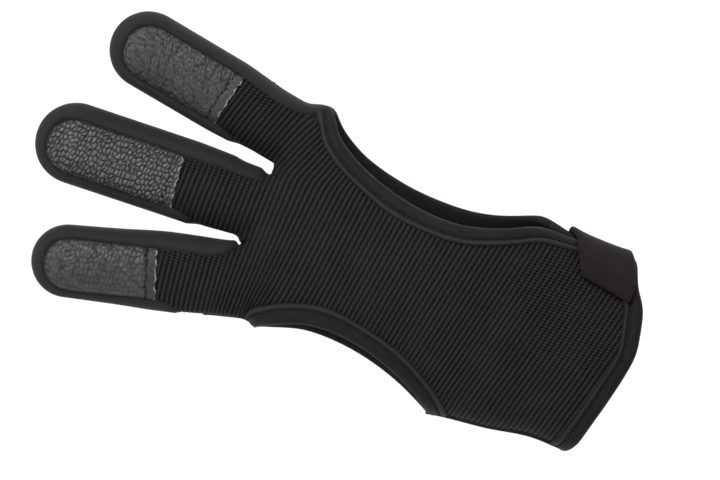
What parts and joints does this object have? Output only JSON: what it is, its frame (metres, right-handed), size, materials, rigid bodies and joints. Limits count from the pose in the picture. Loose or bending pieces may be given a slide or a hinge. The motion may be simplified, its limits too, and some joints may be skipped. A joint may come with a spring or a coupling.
{
  "type": "archery glove",
  "caption": "Open three-finger archery glove with leather fingertip pads, ribbed stretch palm, bound thumb and little-finger openings and a wrist strap, in its worn form.",
  "frame": {"origin": "middle of the wrist opening, where the hand goes in", "axes": "-X along the middle finger, +X out of the wrist opening along the arm, +Z towards the thumb side, -Y the palm side, +Y the back of the hand"},
  "size_m": [0.2031, 0.0437, 0.0989],
  "materials": {
    "ribbed_knit": "fine vertical ribs, matte black",
    "smooth_stretch": "soft brushed stretch cloth, matte charcoal",
    "pad_leather": "pebbled grain, low sheen",
    "binding": "folded elastic tape with a stitched ridge",
    "strap": "flat hook and loop tape, matte"
  },
  "bodies": {
    "root": {"palm_panel": "ribbed_knit", "back_panel": "smooth_stretch", "index_stall": "smooth_stretch", "middle_stall": "smooth_stretch", "ring_stall": "smooth_stretch", "index_pad": "pad_leather", "middle_pad": "pad_leather", "ring_pad": "pad_leather", "thumb_binding": "binding", "little_finger_binding": "binding", "wrist_binding": "binding", "wrist_strap": "strap"}
  },
  "joints": []
}
